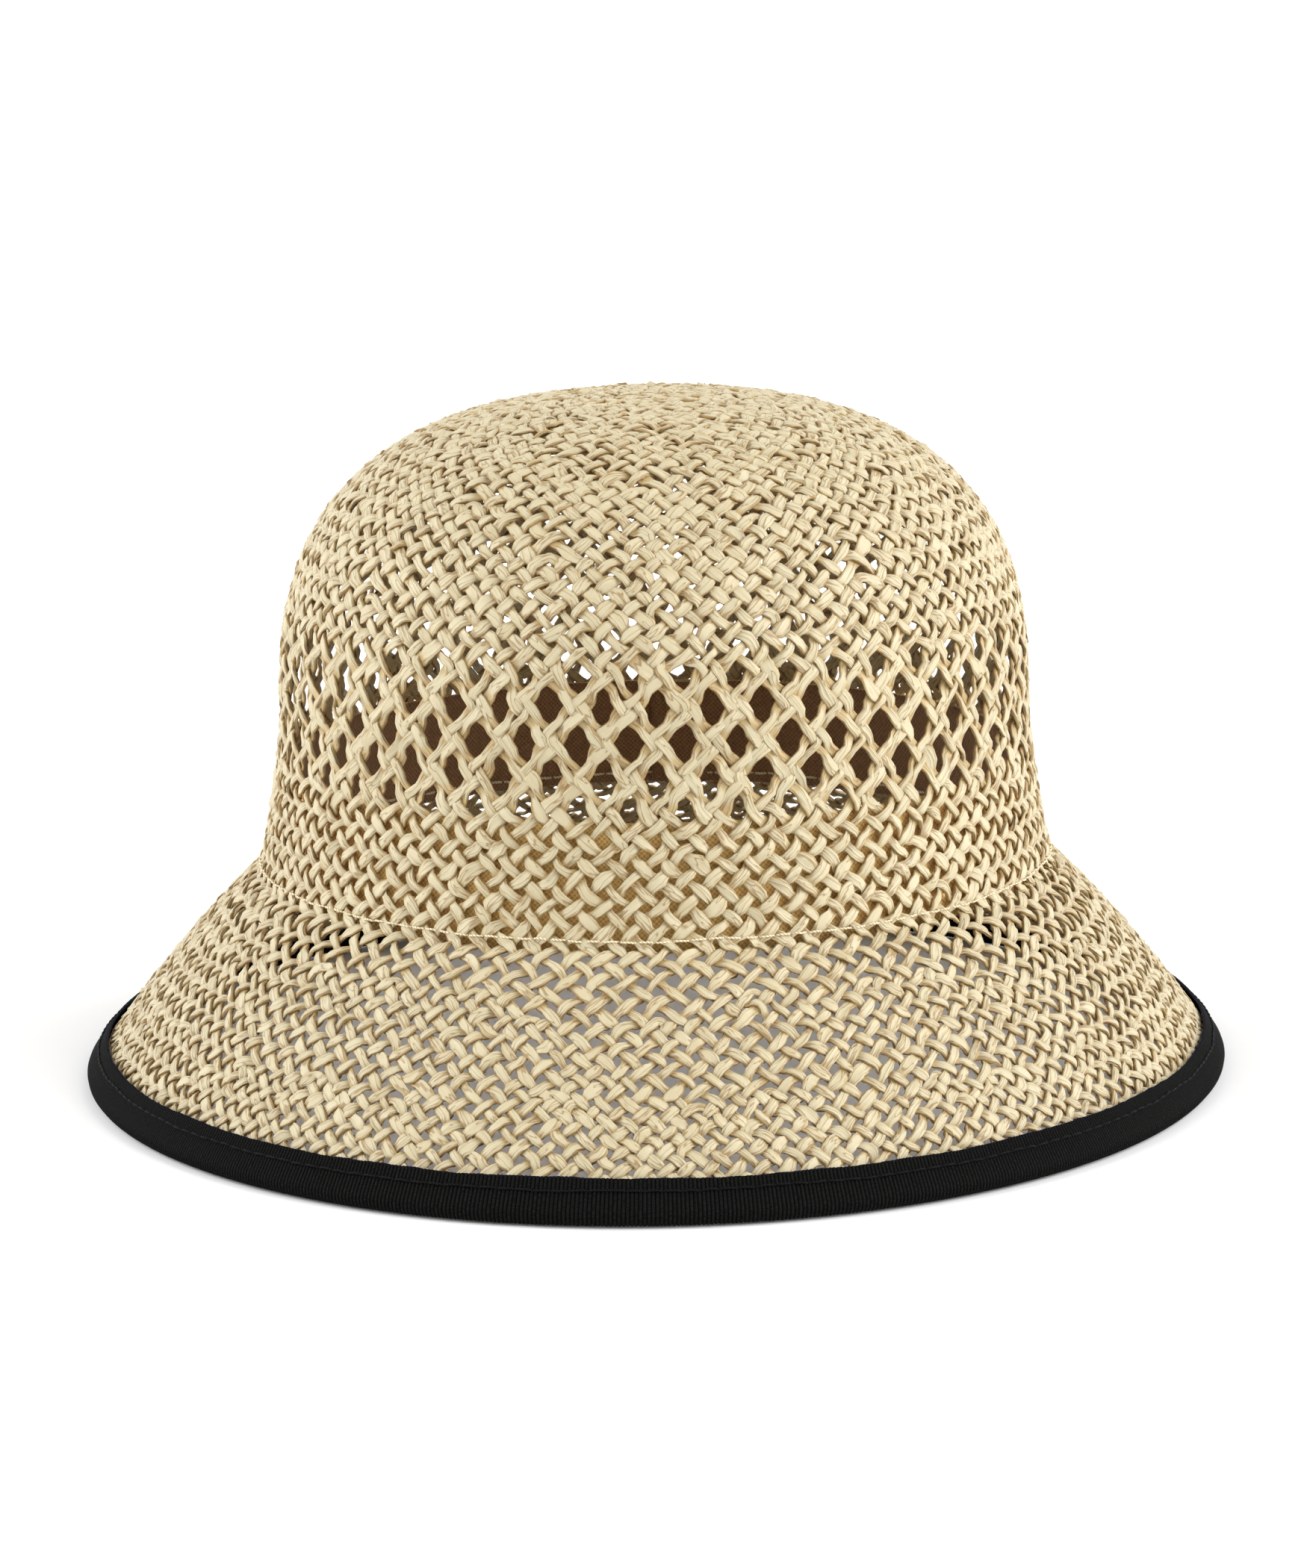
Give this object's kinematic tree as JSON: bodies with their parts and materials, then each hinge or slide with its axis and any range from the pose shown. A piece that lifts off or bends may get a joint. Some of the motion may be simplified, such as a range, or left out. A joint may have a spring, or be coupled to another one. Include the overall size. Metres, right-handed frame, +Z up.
{
  "type": "straw sun hat",
  "caption": "Woven straw bucket hat with a rounded crown, an openwork band round the crown wall, a steep bell-shaped brim and a ribbon-bound edge.",
  "frame": {"origin": "centre of the oval head line, straight below it on the surface that the binding stands on", "axes": "+Z up through the tip of the crown, -Y to the front of the hat, +X to the wearer's left"},
  "size_m": [0.244, 0.2822, 0.1443],
  "materials": {
    "straw": "matt natural paper straw",
    "webbing": "canvas-woven cotton webbing",
    "natural_thread": "cotton thread",
    "grosgrain": "ribbed black ribbon",
    "black_thread": "polyester thread",
    "wire": "spring wire"
  },
  "bodies": {
    "root": {"crown_top": "straw", "lattice_band": "straw", "crown_base": "straw", "brim": "straw", "sweatband": "webbing", "sweatband_needle_thread": "natural_thread", "sweatband_bobbin_thread": "natural_thread", "edge_binding": "grosgrain", "binding_needle_thread": "black_thread", "binding_bobbin_thread": "black_thread", "brim_wire": "wire", "wire_joiner": "wire"}
  },
  "joints": []
}
